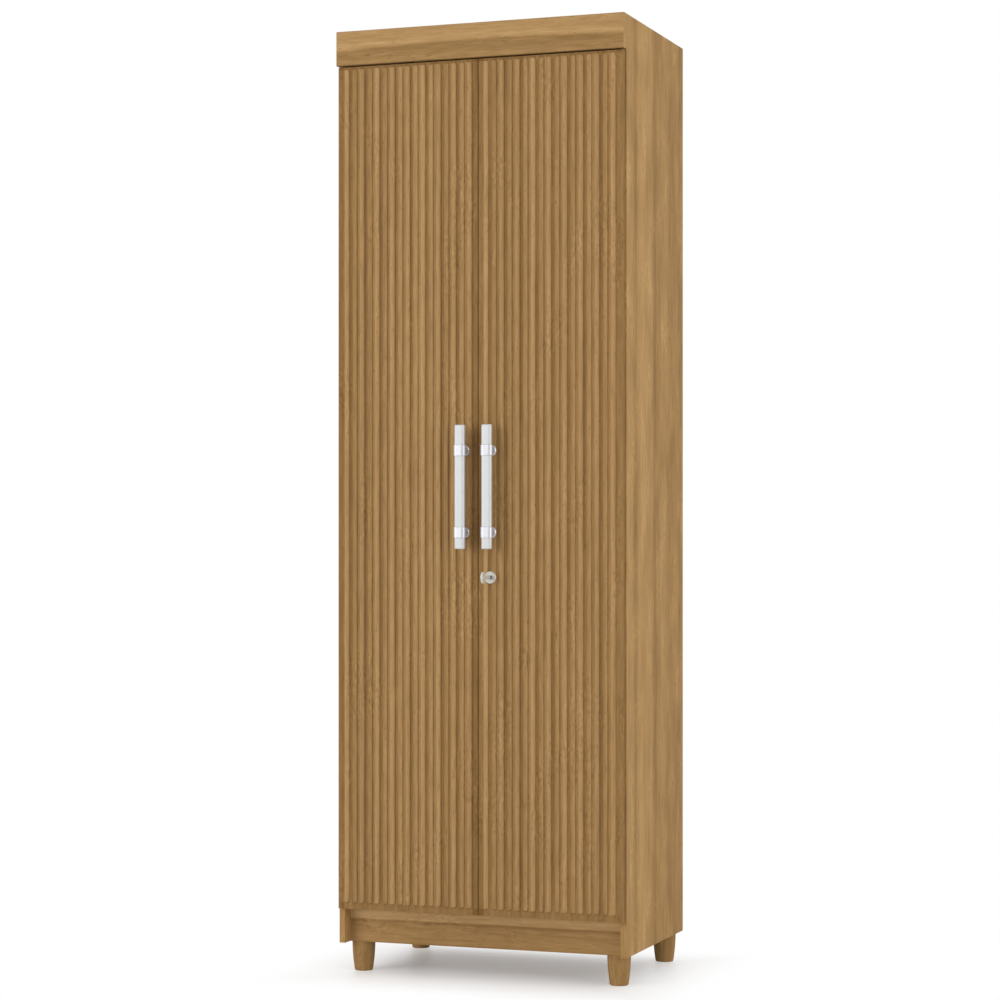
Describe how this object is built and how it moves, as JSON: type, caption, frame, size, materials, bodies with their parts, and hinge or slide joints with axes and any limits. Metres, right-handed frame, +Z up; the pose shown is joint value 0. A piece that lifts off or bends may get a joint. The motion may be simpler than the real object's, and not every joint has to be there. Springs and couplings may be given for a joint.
{
  "type": "storage cabinet",
  "caption": "Tall narrow wooden storage cabinet with a pair of vertically ribbed doors, bar handles, a keyed lock, inner shelves and tapered feet.",
  "frame": {"origin": "on the floor, midway between the outer sides and midway between the key's head and the back", "axes": "+X to the right seen from the front, +Y from the doors to the back, +Z up"},
  "size_m": [0.6, 0.4584, 1.878],
  "materials": {
    "wood": "satin",
    "back_board": "matte",
    "block_wood": "matte",
    "foot_wood": "satin",
    "strip_plastic": "matte",
    "zinc_steel": "satin",
    "handle_metal": "satin",
    "post_chrome": "polished",
    "key_metal": "satin"
  },
  "bodies": {
    "carcass": {"back_sheet_lower": "back_board", "back_sheet_upper": "back_board", "back_strip": "strip_plastic", "bottom_panel": "wood", "cam_bolts": "zinc_steel", "cam_nuts": "zinc_steel", "corner_blocks": "block_wood", "fascia_board": "wood", "fascia_dowels": "block_wood", "fixed_shelf": "wood", "foot_front_left": "foot_wood", "foot_front_right": "foot_wood", "foot_rear_left": "foot_wood", "foot_rear_right": "foot_wood", "foot_studs": "zinc_steel", "hinge_arms_left": "zinc_steel", "hinge_arms_right": "zinc_steel", "hinge_plates_left": "zinc_steel", "hinge_plates_right": "zinc_steel", "hinge_screws_left": "zinc_steel", "hinge_screws_right": "zinc_steel", "loose_shelf_1": "wood", "loose_shelf_2": "wood", "loose_shelf_3": "wood", "plinth_rail": "wood", "rear_rail": "wood", "shelf_pins": "strip_plastic", "side_panel_left": "wood", "side_panel_right": "wood", "top_panel": "wood"},
    "left_door": {"door_left": "wood", "handle_bar_left": "handle_metal", "handle_posts_left": "post_chrome", "handle_screws_left": "zinc_steel", "hinge_cups_left": "zinc_steel", "hinge_links_left": "zinc_steel", "door_buffers_left": "strip_plastic", "bolt_case": "zinc_steel", "lock_keeper": "zinc_steel"},
    "right_door": {"door_right": "wood", "handle_bar_right": "handle_metal", "handle_posts_right": "post_chrome", "handle_screws_right": "zinc_steel", "hinge_cups_right": "zinc_steel", "hinge_links_right": "zinc_steel", "door_buffers_right": "strip_plastic", "lock_case": "zinc_steel", "lock_ring": "post_chrome"},
    "bolt": {"bolt_rod": "zinc_steel"},
    "lock_barrel": {"lock_plug": "post_chrome", "lock_cam": "zinc_steel"},
    "key": {"key": "key_metal"}
  },
  "joints": [
    {"name": "left_door_hinge", "type": "hinge", "parent": "carcass", "child": "left_door", "pos_m": [-0.297, -0.17075, 0.9685], "axis": [0, 0, -1], "range_deg": [0, 105]},
    {"name": "right_door_hinge", "type": "hinge", "parent": "carcass", "child": "right_door", "pos_m": [0.297, -0.17075, 0.9685], "axis": [0, 0, 1], "range_deg": [0, 105]},
    {"name": "bolt_slide", "type": "slide", "parent": "left_door", "child": "bolt", "axis": [0, 0, -1], "range_m": [0, 0.01]},
    {"name": "lock_turn", "type": "hinge", "parent": "right_door", "child": "lock_barrel", "pos_m": [0.027, -0.17875, 0.792], "axis": [0, 1, 0], "range_deg": [0, 90]},
    {"name": "key_slide", "type": "slide", "parent": "lock_barrel", "child": "key", "axis": [0, -1, 0], "range_m": [0, 0.03]}
  ]
}
